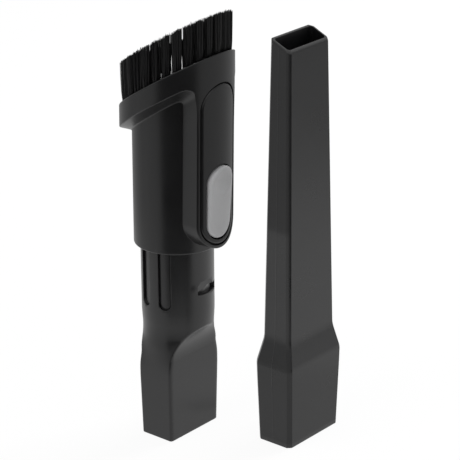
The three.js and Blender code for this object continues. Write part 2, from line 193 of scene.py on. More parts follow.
def rolled(radius, start, end, count):
    """Steps over a rolled-off edge, from one angle of its arc to another: how far each has gone in from the
    first face, and how far it is still in from the second."""
    turns = [math.radians(a) for a in steps(start, end, count)]
    return [(radius * (1 - math.cos(a)), radius * (1 - math.sin(a))) for a in turns]


def end_ring(r, drop, level=0.0, t=1.0):
    """A ring just below the slanted end. With t below 1 it is still on its way there from a level ring."""
    return tube_ring(MOUTH_Z, 0.0, r, lambda y: mix(level, mouth(NOZZLE_END - drop, y), t))


# The skin's rings lie close together round the throat, the waist and both notches.
skin_z = [RIM_ROUND, 12, 24, TAPER_Z, 36] + steps(37, 66.5, 59) + steps(70, 81.5, 4)
skin_z += steps(82, 90, 16) + steps(93, 114.5, 6) + steps(115, 123, 16) + [126, LEVEL_SKIN]
rings = [tube_ring(0.0, inset, BARREL_R, lambda y, z=z: z) for z, inset in rolled(RIM_ROUND, 0, 80, 4)]
rings += [tube_ring(z, 0.0, BARREL_R) for z in skin_z]
rings += [end_ring(BARREL_R, RIM_ROUND, LEVEL_SKIN, t) for t in steps(0.15, 1, 6)]
rings += [end_ring(BARREL_R - gone, drop) for gone, drop in rolled(RIM_ROUND, 20, 90, 3)]
rings.append(end_ring(BORE_R + RIM_ROUND, 0.0))
rings += [end_ring(BORE_R + left, drop) for drop, left in rolled(RIM_ROUND, 30, 90, 2)]
rings += [end_ring(BORE_R, 0.0, LEVEL_BORE, t) for t in steps(0.75, 0, 3)]
bore_z = [69, 67] + steps(65, 37, 28) + [TAPER_Z, 24, 12, RIM_ROUND]
rings += [tube_ring(z, FOOT_WALL, BORE_R) for z in bore_z]
for gone, z in rolled(RIM_ROUND, 30, 90, 2):
    rings.append(tube_ring(0.0, FOOT_WALL - gone, BORE_R, lambda y, z=z: z))
connector_tube = as_piece(loft(rings, closed=True), "tube_moulding")


def slot_ring(half, low, high, arc=33, side=24):
    """(x, z) round an upright slot whose half circles are centred at the heights low and high, in this many
    steps round each half circle and along each side."""
    turns = steps(0, math.pi, arc)[:-1]
    ring = [(half * math.cos(a), high + half * math.sin(a)) for a in turns]
    ring += [(-half, z) for z in steps(high, low, side)[:-1]]
    ring += [(-half * math.cos(a), low - half * math.sin(a)) for a in turns]
    return ring + [(half, z) for z in steps(low, high, side)[:-1]]


# A groove as (depth, how much wider than its half width): a flat floor, a shallow gutter round it, a straight
# wall, a lip that flares out to the barrel's surface, and a last step outside the barrel.
GROOVE_STEPS = [(GROOVE_DEPTH, wider) for wider in steps(-GROOVE_HALF, -0.6, 8)]
GROOVE_STEPS += [(1.6, -0.2), (1.55, -0.06), (1.45, 0.0), (0.4, 0.0), (0.22, 0.04), (0.1, 0.12), (0.0, 0.28)]
GROOVE_STEPS.append((-1.2, 1.9))
for turn in GROOVE_TURNS:
    rings = []
    for depth, wider in GROOVE_STEPS:
        outline = slot_ring(GROOVE_HALF + wider, GROOVE_Z[0] + GROOVE_HALF, GROOVE_Z[1] - GROOVE_HALF)
        r = BARREL_R - depth
        rings.append([Vector((math.sqrt(r**2 - x**2), x, z)) for x, z in outline])
    groove = loft(rings)
    bmesh.ops.rotate(groove, matrix=Matrix.Rotation(math.radians(turn), 3, "Z"), verts=groove.verts)
    work_on(connector_tube, as_piece(groove, "groove"))


def bar(outline, half, x=0.0):
    """A solid bar along X whose section is an outline of (y, z) points."""
    return loft([[Vector((x + end, y, z)) for y, z in outline] for end in (-half, half)])


# A notch is a sloping ramp with a slit along its foot, which follows the barrel and is taller at one end.
for shelf in SHELVES:
    work_on(connector_tube, as_piece(bar([(-r, shelf + up) for r, up in RAMP], NOTCH_HALF), "ramp"))
    rings = []
    for turn, low, high in SLIT:
        a, low, high = math.radians(turn), shelf + low, shelf + high
        section = [(SLIT_OUT, low - SLIT_FALL), (SLIT_LIP, low), (SLIT_IN, low)]
        section += [(SLIT_IN, high), (SLIT_OUT, high)]
        rings.append([Vector((r * math.sin(a), -r * math.cos(a), z)) for r, z in section])
    work_on(connector_tube, as_piece(loft(rings), "slit"))
settle(connector_tube, BRUSH_AT)


def linear(code):
    """An sRGB hex colour as linear red, green and blue, with alpha 1."""
    parts = [int(code[i : i + 2], 16) / 255 for i in (1, 3, 5)]
    return [p / 12.92 if p <= 0.04045 else ((p + 0.055) / 1.055) ** 2.4 for p in parts] + [1.0]


def add(tree, kind, inputs=None, **settings):
    """Adds a node. An input is a constant, or the output socket that feeds it."""
    made = tree.nodes.new(kind)
    for name, value in settings.items():
        setattr(made, name, value)
    for name, value in (inputs or {}).items():
        if isinstance(value, bpy.types.NodeSocket):
            tree.links.new(value, made.inputs[name])
        else:
            made.inputs[name].default_value = value
    return made


def bare_material(name):
    """A material that has no nodes yet, and its tree to fill."""
    material = bpy.data.materials.new(name)
    material.use_nodes = True
    material.node_tree.nodes.clear()
    return material, material.node_tree


CLOUD_MM, SHEEN_SWING = 18.0, 0.025  # the size of the clouds, and the roughness that they add or take away


def moulded(name, dark, light, rough, grain_mm, grain_depth):
    """Injection-moulded plastic: two close shades in slow clouds, a spark-eroded grain, and a sheen that
    varies a little where the moulding has been handled."""
    material, tree = bare_material(name)
    place = add(tree, "ShaderNodeTexCoord").outputs["Object"]
    cloud = add(
        tree,
        "ShaderNodeTexNoise",
        {"Vector": place, "Scale": 1 / (CLOUD_MM * MM), "Detail": 3.0, "Roughness": 0.55},
    )
    shade = add(
        tree,
        "ShaderNodeMix",
        {"Factor": cloud.outputs["Fac"], 6: linear(dark), 7: linear(light)},
        data_type="RGBA",
    )
    sheen = add(
        tree,
        "ShaderNodeMapRange",
        {
            "Value": cloud.outputs["Fac"],
            "From Min": 0.3,
            "From Max": 0.7,
            "To Min": rough - SHEEN_SWING,
            "To Max": rough + SHEEN_SWING,
        },
    )
    grain = add(tree, "ShaderNodeTexNoise", {"Vector": place, "Scale": 1 / (grain_mm * MM), "Detail": 2.0})
    relief = add(
        tree,
        "ShaderNodeBump",
        {"Height": grain.outputs["Fac"], "Strength": 1.0, "Distance": grain_depth * MM},
    )
    skin = add(
        tree,
        "ShaderNodeBsdfPrincipled",
        {
            "Base Color": shade.outputs[2],
            "Roughness": sheen.outputs["Result"],
            "Normal": relief.outputs["Normal"],
            "IOR": 1.52,
        },
    )
    add(tree, "ShaderNodeOutputMaterial", {"Surface": skin.outputs["BSDF"]})
    return material


# Satin black ABS from a finely eroded tool: an even charcoal black with a soft sheen.
satin_abs = moulded("black_abs_satin_moulded", "#0b0b0c", "#0e0e0f", 0.31, 0.35, 0.003)
connector_tube.data.materials.append(satin_abs)
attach(connector_tube, "connector")
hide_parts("connector_tube")

# ----------------------------------------------------------------------------------------------------------
# Brush sleeve
# One black ABS moulding that slides on the barrel: a round sleeve, a slanted round head with a thin rim and a
# sloped shoulder, and a raised plate down the button side, sunk to take the cover. Its edges are rolled off.
# ----------------------------------------------------------------------------------------------------------
HEAD_R, HEAD_Y = 29.55, -1.7
RIM, BAND, SHOULDER = 1.5, 11.7, 4.3
BACK_BAND, BACK_FROM, BACK_SPAN = 0.9, 85, 50  # the band widens towards the back over these degrees
NECK_TILT = 0.055  # the neck slants a little more than the mouth
SLEEVE_R, SLEEVE_Z, SLEEVE_HIGH = (22.6, 22.1), 107.6, 82.0  # it narrows from its lower end up to its neck
SLIDE_GAP = 0.35
HEAD_WALL, NECK_WALL, SHOULDER_WALL = 2.0, 1.0, 1.6  # round the head's cavity, and under its floor
PLATE_HALF, PLATE_TAPER, PLATE_END_Z = 14.57, 0.0025, 125.2  # the plate narrows upwards
PLATE_EDGE_TOP, WALL_TOP = 193.9, 187.6  # where the plate's edge and the foot of its wall start to turn
LEAN, LEAN_Z = 0.0173, 190.0  # the plate's front leans back below this height
PANEL_HALF, PANEL_Z, PANEL_GAP, PANEL_THICK = 12.3, (125.3, 186.6), 0.6, 2.0
BUTTON_HALF, BUTTON_Z, BUTTON_GAP, BUTTON_BACK = 8.75, (124.9, 146.6), 0.7, -27.3
POCKET_Y, POCKET_HALF = -21.9, 10.0
PIVOT, PIN_R, PIN_GAP = (-25.0, 136.0), 1.2, 0.15
EAR, EAR_Z, LUG_HALF = (4.5, 7.9), (133.5, 138.5), 4.0
HOOK_HALF, HOOK_Z, HOOK_TIP = 4.4, 118.0, 20.0
RIB_HALF, RIB_IN, RIB_Z = 3.05, 18.15, (108.2, 125.6)
EDGE_ROUND, FOOT_ROUND, NECK_ROUND = 0.65, 0.3, 0.9  # the plate's edge, the foot of its wall, the neck
HEM_ROUND, HEM_CHAMFER = 0.85, 0.15  # the sleeve's lower end, outside and inside
LIP_ROUND, LIP_DROP = 0.7, 0.16  # the outside of the head's rim

# Stations round half of the sleeve, from the middle of the plate's round end to the middle of the back.
AT_END, AT_SIDE, AT_CORNER, AT_BAND = 36, 60, 12, 72
AT_PLATE = AT_END + AT_SIDE + AT_CORNER
HALF_TURN = AT_PLATE + AT_BAND
HEAD_TURN, NECK_TURN = math.radians(45), math.radians(50)
CORNER_PULL = 0.57  # makes the curve under the head's band an arc
WALL_HALF, WALL_TAPER = 14.85, 0.0206  # the foot of the plate's wall, which narrows faster than its edge


def lean(z):
    return HEAD_Y + LEAN * max(LEAN_Z - z, 0.0)


def sleeve_r(z):
    return mix(*SLEEVE_R, (z - SLEEVE_Z) / SLEEVE_HIGH)


def on_head(angle, z, depth=0.0):
    """A point of the head and plate's outer skin. Angles run from -Y towards +X."""
    r = HEAD_R - depth
    return Vector((r * math.sin(angle), lean(z) - r * math.cos(angle), z))


def on_sleeve(angle, z, inward=0.0):
    r = sleeve_r(z) - inward
    return Vector((r * math.sin(angle), -r * math.cos(angle), z))


def bend(a, b, c, t, pull=1.0):
    """A point on the curve from a to c that b pulls towards itself."""
    middle = 2 * pull * t * (1 - t)
    return (a * (1 - t) ** 2 + b * middle + c * t**2) / ((1 - t) ** 2 + middle + t**2)


def band_edge(angle, inside):
    steep = math.hypot(1, MOUTH_SLOPE * math.sin(angle))
    wide = BAND + BACK_BAND * ease((math.degrees(angle) - BACK_FROM) / BACK_SPAN)
    return mouth(-wide, HEAD_Y - HEAD_R * math.cos(angle)) + inside * steep


def plate_half(z):
    return PLATE_HALF - PLATE_TAPER * (z - PLATE_END_Z)


def skin_edge(k, inside):
    """(angle, height) of the lower edge of the head and plate's skin, and of lines inside it."""
    half = PLATE_HALF - inside
    if k <= AT_END:
        a = math.pi / 2 * k / AT_END
        return math.asin(half * math.sin(a) / HEAD_R), PLATE_END_Z - half * math.cos(a)
    z = mix(PLATE_END_Z, PLATE_EDGE_TOP, (k - AT_END) / AT_SIDE)
    side = math.asin((plate_half(z) - inside) / HEAD_R)
    if k <= AT_END + AT_SIDE:
        return side, z
    if k <= AT_PLATE:
        t = (k - AT_END - AT_SIDE) / AT_CORNER
        return (
            bend(side, side, HEAD_TURN, t, CORNER_PULL),
            bend(PLATE_EDGE_TOP, band_edge(side, inside), band_edge(HEAD_TURN, inside), t, CORNER_PULL),
        )
    angle = mix(HEAD_TURN, math.pi, (k - AT_PLATE) / AT_BAND)
    return angle, band_edge(angle, inside)


def neck(angle):
    y = -SLEEVE_R[1] * math.cos(angle)
    return mouth(-BAND - SHOULDER, y) - NECK_TILT * y


def wall_foot(k):
    """(angle, height) of the line where the plate's wall and the head's shoulder meet the round sleeve."""
    if k <= AT_END:
        a = math.pi / 2 * k / AT_END
        z = PLATE_END_Z - WALL_HALF * math.cos(a)
        return math.asin(WALL_HALF * math.sin(a) / sleeve_r(z)), z
    z = mix(PLATE_END_Z, WALL_TOP, (k - AT_END) / AT_SIDE)
    side = math.asin((WALL_HALF - WALL_TAPER * (z - PLATE_END_Z)) / sleeve_r(z))
    if k <= AT_END + AT_SIDE:
        return side, z
    if k <= AT_PLATE:
        t = (k - AT_END - AT_SIDE) / AT_CORNER
        return bend(side, side, NECK_TURN, t), bend(WALL_TOP, neck(side), neck(NECK_TURN), t)
    angle = mix(NECK_TURN, math.pi, (k - AT_PLATE) / AT_BAND)
    return angle, neck(angle)


def low_turn(k):
    """The stations fan out towards the sleeve's lower end, so that no two lines cross."""
    marks = [(0, 0), (AT_END, 45), (AT_END + AT_SIDE, 76), (AT_PLATE, 80), (HALF_TURN, 180)]
    for (k0, a0), (k1, a1) in zip(marks, marks[1:]):
        if k <= k1:
            return math.radians(mix(a0, a1, (k - k0) / (k1 - k0)))


def head_turn(k):
    return HEAD_TURN * k / AT_PLATE if k <= AT_PLATE else skin_edge(k, 0)[0]


def full_ring(point):
    """A whole ring from the points of its half."""
    half = [point(k) for k in range(HALF_TURN + 1)]
    return half + [Vector((-p.x, p.y, p.z)) for p in reversed(half[1:-1])]


NECK_TOP = NECK_WALL - BAND - SHOULDER  # the bore opens into the head at this offset from the mouth


def bore_point(k, t):
    angle = mix(low_turn(k), head_turn(k), t)
    r = BARREL_R + SLIDE_GAP
    y = -r * math.cos(angle)
    return Vector((r * math.sin(angle), y, mix(SLEEVE_Z + 0.5, mouth(NECK_TOP, y), t)))


def head_ring(r, offset, y=HEAD_Y):
    def point(k):
        a = head_turn(k)
        here = y - r * math.cos(a)
        return Vector((r * math.sin(a), here, mouth(offset, here)))

    return full_ring(point)


def skin_point(k, t):
    a0, (a1, z1) = head_turn(k), skin_edge(k, EDGE_ROUND)
    z0 = mouth(-LIP_DROP - LIP_ROUND, HEAD_Y - HEAD_R * math.cos(a0))
    return on_head(mix(a0, a1, t), mix(z0, z1, t))


def edge_point(k, t):
    corner, foot = on_head(*skin_edge(k, 0)), on_sleeve(*wall_foot(k))
    return bend(skin_point(k, 1), corner, corner + (foot - corner).normalized() * EDGE_ROUND, t)


def below_foot(k, t):
    (a0, z0), a1 = wall_foot(k), low_turn(k)
    return on_sleeve(mix(a0, a1, t), mix(z0, SLEEVE_Z + HEM_ROUND, t))


def foot_point(k, t):
    corner, foot = on_head(*skin_edge(k, 0)), on_sleeve(*wall_foot(k))
    fillet = mix(FOOT_ROUND, NECK_ROUND, (k - AT_END - AT_SIDE) / AT_CORNER)
    start = foot + (corner - foot).normalized() * fillet
    drop = wall_foot(k)[1] - SLEEVE_Z - HEM_ROUND
    return bend(start, foot, below_foot(k, fillet / drop), t)


CARRIER_SEAT = -6.5  # the bristle ring rests on a step this far below the mouth
rings = [full_ring(lambda k, t=t: bore_point(k, t)) for t in steps(0, 1, 24)]
rings.append(head_ring(SLEEVE_R[1] - HEAD_WALL, NECK_TOP, 0.0))
rings += [head_ring(HEAD_R - HEAD_WALL, offset) for offset in (SHOULDER_WALL - BAND, CARRIER_SEAT)]
rings += [head_ring(HEAD_R - RIM, offset) for offset in (CARRIER_SEAT, -RIM_ROUND)]
rings += [head_ring(HEAD_R - RIM + gone, -left) for gone, left in rolled(RIM_ROUND, 30, 90, 2)]
rings += [head_ring(HEAD_R - left, -LIP_DROP - drop) for drop, left in rolled(LIP_ROUND, 0, 75, 5)]
rings += [full_ring(lambda k, t=t: skin_point(k, t)) for t in steps(0, 1, 20)]
rings += [full_ring(lambda k, t=t: edge_point(k, t)) for t in steps(0.2, 1, 4)]
rings += [full_ring(lambda k, t=t: edge_point(k, 1).lerp(foot_point(k, 0), t)) for t in steps(0.25, 0.75, 2)]
rings += [full_ring(lambda k, t=t: foot_point(k, t)) for t in steps(0, 1, 6)]
rings += [full_ring(lambda k, t=t: below_foot(k, t)) for t in steps(0.06, 1, 26)]
sleeve_wall = SLEEVE_R[0] - BARREL_R - SLIDE_GAP
hem = [*rolled(HEM_ROUND, 15, 90, 5), (sleeve_wall - 0.5, 0.0), (sleeve_wall - HEM_CHAMFER, HEM_CHAMFER)]
for inward, up in hem:
    rings.append(full_ring(lambda k, i=inward, u=up: on_sleeve(low_turn(k), SLEEVE_Z + u, i)))
brush_sleeve = as_piece(loft(rings, closed=True), "sleeve_moulding")


def behind_front(x, z, depth):
    """A point behind the plate's curved front by a depth, or before it where the depth is negative."""
    return Vector((x, lean(z) - math.sqrt(max((HEAD_R - depth) ** 2 - x**2, 0.0)), z))


def slot_on_front(half, low, high, depth):
    return [behind_front(x, z, depth) for x, z in slot_ring(half, low, high)]


RECESS_HALF, RECESS_DEPTH = PANEL_HALF + PANEL_GAP, PANEL_THICK + 0.3
OUTSIDE_Y = -36  # a cut that starts here starts well outside the plate
rings = [slot_on_front(half, *PANEL_Z, RECESS_DEPTH) for half in steps(0, RECESS_HALF, 14)]
for depth, wider in ((0.35, 0.0), (0.15, 0.04), (0.0, 0.16), (-0.25, 0.4)):  # the recess's rolled lip
    rings.append(slot_on_front(RECESS_HALF + wider, *PANEL_Z, depth))
rings.append([Vector((x, OUTSIDE_Y, z)) for x, z in slot_ring(RECESS_HALF + 0.4, *PANEL_Z)])
work_on(brush_sleeve, as_piece(loft(rings), "recess"))
pocket = [[Vector((x, y, z)) for x, z in slot_ring(POCKET_HALF, *BUTTON_Z)] for y in (POCKET_Y, OUTSIDE_Y)]
work_on(brush_sleeve, as_piece(loft(pocket), "pocket"))
front, back = POCKET_Y - 1, -15  # the hook's window goes from the pocket right through into the bore
low, high = HOOK_Z - 0.8, HOOK_Z + 5.2
window = [(front, low), (back, low), (back, high), (front, high)]
work_on(brush_sleeve, as_piece(bar(window, HOOK_HALF + 0.6), "hook_window"))
for turn in GROOVE_TURNS:
    rib = loft(
        [
            [Vector((out, x, z)) for x, z in slot_ring(half, RIB_Z[0] + RIB_HALF, RIB_Z[1] - RIB_HALF)]
            for out, half in ((RIB_IN, RIB_HALF - 0.3), (RIB_IN + 0.3, RIB_HALF), (BARREL_R + 1.6, RIB_HALF))
        ]
    )
    bmesh.ops.rotate(rib, matrix=Matrix.Rotation(math.radians(turn), 3, "Z"), verts=rib.verts)
    work_on(brush_sleeve, as_piece(rib, "rib"), "UNION")
ear_front, ear_root = PIVOT[0] - PIN_R - PIN_GAP - 0.55, POCKET_Y + 1
ear = [(ear_front, EAR_Z[0]), (ear_root, EAR_Z[0]), (ear_root, EAR_Z[1]), (ear_front, EAR_Z[1])]
for side in (-1, 1):
    work_on(brush_sleeve, as_piece(bar(ear, (EAR[1] - EAR[0]) / 2, side * sum(EAR) / 2), "ear"), "UNION")


def pin_outline(r, sides=32):
    turns = [2 * math.pi * i / sides for i in range(sides)]
    return [(PIVOT[0] + r * math.cos(a), PIVOT[1] + r * math.sin(a)) for a in turns]


work_on(brush_sleeve, as_piece(bar(pin_outline(PIN_R + PIN_GAP), EAR[1] + 0.5), "pin_hole"))
settle(brush_sleeve, BRUSH_AT)
brush_sleeve.data.materials.append(satin_abs)
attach(brush_sleeve, "sleeve")
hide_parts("brush_sleeve")

# ----------------------------------------------------------------------------------------------------------
# Bristle ring
# A black ring with thirty blind holes, pressed into the head on its step; the tufts are stapled into it.
# ----------------------------------------------------------------------------------------------------------
CARRIER_Z, CARRIER_R, CARRIER_CHAMFER = (-2.0, -6.2), (19.7, 27.5), 0.3
TUFTS, TUFT_RING_R, TUFT_IN = 30, 25.85, 5.4
HOLE_R, HOLE_DEEPER = 1.8, 0.3


def slanted_circle(r, y, offset, sides=144, x=0.0):
    ring = []
    for i in range(sides):
        a = 2 * math.pi * i / sides
        ring.append(Vector((x + r * math.cos(a), y + r * math.sin(a), mouth(offset, y + r * math.sin(a)))))
    return ring


top, bottom = CARRIER_Z
inner, outer = CARRIER_R
below = top - CARRIER_CHAMFER
rings = [slanted_circle(outer, HEAD_Y, bottom), slanted_circle(outer, HEAD_Y, below)]
rings.append(slanted_circle(outer - CARRIER_CHAMFER, HEAD_Y, top))
rings.append(slanted_circle(inner + CARRIER_CHAMFER, 0.0, top))
rings += [slanted_circle(inner, 0.0, below), slanted_circle(inner, 0.0, bottom)]
bristle_ring = as_piece(loft(rings, closed=True), "bristle_ring_moulding")
tuft_at = []
for i in range(TUFTS):
    a = 2 * math.pi * (i + 0.5) / TUFTS
    tuft_at.append((TUFT_RING_R * math.cos(a), HEAD_Y + TUFT_RING_R * math.sin(a)))
for x, y in tuft_at:
    hole = loft([slanted_circle(HOLE_R, y, offset, 24, x) for offset in (-TUFT_IN - HOLE_DEEPER, 0.0)])
    work_on(bristle_ring, as_piece(hole, "tuft_hole"))
settle(bristle_ring, BRUSH_AT)
bristle_ring.data.materials.append(satin_abs)
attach(bristle_ring, "sleeve")
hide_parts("bristle_ring")

# ----------------------------------------------------------------------------------------------------------
# Tufts
# Thirty bundles of straight black nylon filament, folded and stapled into the ring, then trimmed in one
# slanted cut. The filaments splay a little from root to tip, and no two end at quite the same height.
# ----------------------------------------------------------------------------------------------------------
FILAMENTS, FILAMENT_R, FILAMENT_TAPER = 150, 0.12, 0.25
TUFT_OUT = 20.75  # the tips stand this far above the mouth's plane
BACK_LONGER, BACK_Y, BACK_OVER = 1.5, 15.0, 8.0  # and this much further at the back, from a distance on
RAGGED, DOMED = 0.42, 0.3  # the tips' scatter, and how much lower they are round a tuft's rim
BOW, BOW_UP = 0.22, 0.7  # the filaments' scatter sideways, and the share of their length that it takes
SPLAY = ((0.0, 1.6), (0.13, 1.7), (0.21, 2.0), (0.4, 2.35), (0.7, 2.5), (1.0, 2.62))  # radius up a tuft
chance = random.Random(11)

nylon, tree = bare_material("black_nylon_filament_drawn")
# Drawn nylon: smooth and slightly glossy. Its colour is also streaked lighter along the filaments, a painted
# sheen that stands in for the thin streak of light each filament carries.
place = add(tree, "ShaderNodeTexCoord").outputs["Object"]
strand = add(tree, "ShaderNodeMapping", {"Vector": place, "Scale": (1.0, 1.0, 0.08)})
# Noise drawn out along the filaments: the lighter streaks that it mixes into the colour are painted sheen.
painted_sheen_streak = add(
    tree,
    "ShaderNodeTexNoise",
    {"Vector": strand.outputs["Vector"], "Scale": 1 / (0.6 * MM), "Detail": 2.0},
)
shade = add(
    tree,
    "ShaderNodeMix",
    {"Factor": painted_sheen_streak.outputs["Fac"], 6: linear("#070708"), 7: linear("#151516")},
    data_type="RGBA",
)
skin = add(tree, "ShaderNodeBsdfPrincipled", {"Base Color": shade.outputs[2], "Roughness": 0.42, "IOR": 1.53})
add(tree, "ShaderNodeOutputMaterial", {"Surface": skin.outputs["BSDF"]})

for number, (x, y) in enumerate(tuft_at, 1):
    bm = bmesh.new()
    turn = bm.verts.layers.int.new("turn")
    outward, ends, bow = [], [], []
    for f in range(FILAMENTS):
        a, r = chance.uniform(0, 2 * math.pi), math.sqrt(chance.random())
        out = Vector((math.cos(a), math.sin(a), 0)) * r
        outward.append(out)
        longer = BACK_LONGER * ease((y - BACK_Y) / BACK_OVER)
        ends.append(TUFT_OUT + longer + chance.gauss(0, RAGGED) - DOMED * r**3)
        bow.append(Vector((chance.gauss(0, BOW), chance.gauss(0, BOW), 0)))
        bmesh.ops.create_circle(bm, segments=4, radius=1)
    for i, v in enumerate(bm.verts):
        v[turn] = i
    edges = bm.edges[:]
    for t, splay in SPLAY:
        moved = bm.verts
        if t:
            grown = bmesh.ops.extrude_edge_only(bm, edges=edges)["geom"]
            edges = [g for g in grown if isinstance(g, bmesh.types.BMEdge)]
            moved = [g for g in grown if isinstance(g, bmesh.types.BMVert)]
        for v in moved:
            f, corner = divmod(v[turn], 4)
            at = Vector((x, y, 0)) + outward[f] * splay + bow[f] * ease(t / BOW_UP)
            a, r = math.pi / 2 * corner + f, FILAMENT_R * (1 - FILAMENT_TAPER * t)
            height = mix(mouth(-TUFT_IN, at.y), mouth(ends[f], at.y), t)
            v.co = at + Vector((r * math.cos(a), r * math.sin(a), height))
    bm.verts.layers.int.remove(turn)
    bmesh.ops.holes_fill(bm, edges=[e for e in bm.edges if e.is_boundary], sides=4)
    bmesh.ops.recalc_face_normals(bm, faces=bm.faces)
    tuft = settle(as_piece(bm, f"filaments_{number:02d}"), BRUSH_AT, sharp=60)
    tuft.data.materials.append(nylon)
    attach(tuft, "sleeve")
    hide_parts(f"tuft_{number:02d}")

# ----------------------------------------------------------------------------------------------------------
# Pivot pin and return spring
# A drawn steel pin that the button rocks on, and a steel coil that pushes its thumb end out. Both are inside.
# ----------------------------------------------------------------------------------------------------------
steel, tree = bare_material("steel_wire_bright_drawn")
# Drawn wire: bright, with fine lines from the die along its length.
place = add(tree, "ShaderNodeTexCoord").outputs["Object"]
line = add(tree, "ShaderNodeMapping", {"Vector": place, "Scale": (0.1, 1.0, 1.0)})
scratch = add(
    tree,
    "ShaderNodeTexNoise",
    {"Vector": line.outputs["Vector"], "Scale": 1 / (0.2 * MM), "Detail": 2.0},
)
dull = add(tree, "ShaderNodeMapRange", {"Value": scratch.outputs["Fac"], "To Min": 0.22, "To Max": 0.38})
skin = add(
    tree,
    "ShaderNodeBsdfPrincipled",
    {"Base Color": linear("#b9bcc0"), "Metallic": 1.0, "Roughness": dull.outputs["Result"]},
)
add(tree, "ShaderNodeOutputMaterial", {"Surface": skin.outputs["BSDF"]})
for name in ("pivot_pin", "return_spring"):
    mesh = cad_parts[name].data
    mesh.materials.clear()
    mesh.materials.append(steel)

# ----------------------------------------------------------------------------------------------------------
# Side panel
# A thin curved cover in black ABS with a finer finish, snapped into the plate's recess with an even shadow
# gap. Its long opening holds the button, and both of its edges are rolled off.
# ----------------------------------------------------------------------------------------------------------
PANEL_ROUND, HOLE_ROUND = 1.0, 0.4
hole_half = BUTTON_HALF + BUTTON_GAP


def between_slots(t, depth):
    """A ring of the cover between its outer edge at t 0 and its opening's edge at t 1."""
    start = (PANEL_HALF - PANEL_ROUND, *PANEL_Z)
    end = (hole_half + HOLE_ROUND, *BUTTON_Z)
    return slot_on_front(*[mix(a, b, t) for a, b in zip(start, end)], depth)


rings = [slot_on_front(PANEL_HALF, *PANEL_Z, PANEL_THICK)]
for gone, depth in rolled(PANEL_ROUND, 0, 80, 4):
    rings.append(slot_on_front(PANEL_HALF - gone, *PANEL_Z, depth))
rings += [between_slots(t, 0.0) for t in steps(0, 1, 24)]
for depth, left in rolled(HOLE_ROUND, 20, 90, 3):
    rings.append(slot_on_front(hole_half + left, *BUTTON_Z, depth))
rings.append(slot_on_front(hole_half, *BUTTON_Z, PANEL_THICK))
rings += [between_slots(t, PANEL_THICK) for t in steps(1, 0, 24)]
side_panel = settle(as_piece(loft(rings, closed=True), "cover_moulding"), BRUSH_AT)
# Black ABS with a very fine grain: a shade smoother than the sleeve round it.
cover_abs = moulded("black_abs_fine_satin", "#0c0c0d", "#0f0f10", 0.3, 0.3, 0.002)
side_panel.data.materials.append(cover_abs)
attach(side_panel, "sleeve")
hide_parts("side_panel")

# ----------------------------------------------------------------------------------------------------------
# Release button
# A grey ABS rocker, sprayed with a fine sparkle lacquer. Its thumb dish is at the upper end. A lug on its
# back turns on the pin, and a hook at the lower end drops into the barrel's notches.
# ----------------------------------------------------------------------------------------------------------
BUTTON_ROUND = 1.1
BUTTON_STEPS = (48, 40)  # round each end and along each side
PROUD, PROUD_Z, TILT = 0.55, 128.0, 0.055  # it stands this proud of the plate here, and more further up
DISH_R, DISH_DEPTH, DISH_SOFT = 6.3, 1.4, 0.22
LUG_DEEP = 1.1  # past the pin's hole
HOOK = ((HOOK_TIP, 0.0), (HOOK_TIP, 1.4), (HOOK_TIP + 1.9, 3.6))  # the nose: distance from the axis, height
HOOK_THICK = 4.1


def button_front(half, sunk):
    """A ring of the button's front, sunk by some depth, with the thumb dish pressed in."""
    ring = []
    for x, z in slot_ring(half, *BUTTON_Z, *BUTTON_STEPS):
        reach = math.hypot(x, z - BUTTON_Z[1]) / DISH_R
        dish = DISH_DEPTH * (1 - lesser(1.0, reach**2, DISH_SOFT))
        ring.append(behind_front(x, z, sunk - PROUD - TILT * (z - PROUD_Z) + dish))
    return ring


rings = []
for half in (0.0, BUTTON_HALF):
    rings.append([Vector((x, BUTTON_BACK, z)) for x, z in slot_ring(half, *BUTTON_Z, *BUTTON_STEPS)])
rings += [button_front(BUTTON_HALF - gone, sunk) for gone, sunk in rolled(BUTTON_ROUND, 0, 75, 5)]
rings += [button_front(half, 0.0) for half in steps(BUTTON_HALF - BUTTON_ROUND, 0.0, 28)]
release_button = as_piece(loft(rings), "button_moulding")
root = BUTTON_BACK - 0.5  # the lug and the hook start a little inside the button
lug_back = PIVOT[0] + PIN_R + LUG_DEEP
lug = [(root, EAR_Z[0]), (lug_back, EAR_Z[0]), (lug_back, EAR_Z[1]), (root, EAR_Z[1])]
hook = [(root, HOOK_Z), *((-r, HOOK_Z + up) for r, up in HOOK), (root, HOOK_Z + HOOK_THICK)]
work_on(release_button, as_piece(bar(lug, LUG_HALF), "lug"), "UNION")
work_on(release_button, as_piece(bar(hook, HOOK_HALF), "hook"), "UNION")
work_on(release_button, as_piece(bar(pin_outline(PIN_R + PIN_GAP), LUG_HALF + 1), "pin_hole"))
settle(release_button, BRUSH_AT)

sparkle_grey, tree = bare_material("grey_abs_sparkle_lacquer")
# Sprayed satin lacquer: mid grey, with metal flakes that are drawn at 0.25 mm, coarser than life, to show.
place = add(tree, "ShaderNodeTexCoord").outputs["Object"]
flake = add(tree, "ShaderNodeTexVoronoi", {"Vector": place, "Scale": 1 / (0.25 * MM)})
shade = add(
    tree,
    "ShaderNodeMix",
    {"Factor": flake.outputs["Color"], 6: linear("#a2a2a3"), 7: linear("#acacad")},
    data_type="RGBA",
)
relief = add(
    tree,
    "ShaderNodeBump",
    {"Height": flake.outputs["Distance"], "Strength": 0.4, "Distance": 0.01 * MM},
)
skin = add(
    tree,
    "ShaderNodeBsdfPrincipled",
    {
        "Base Color": shade.outputs[2],
        "Metallic": 0.1,
        "Roughness": 0.45,
        "IOR": 1.5,
        "Normal": relief.outputs["Normal"],
    },
)
add(tree, "ShaderNodeOutputMaterial", {"Surface": skin.outputs["BSDF"]})
release_button.data.materials.append(sparkle_grey)
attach(release_button, "button")
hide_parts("release_button")

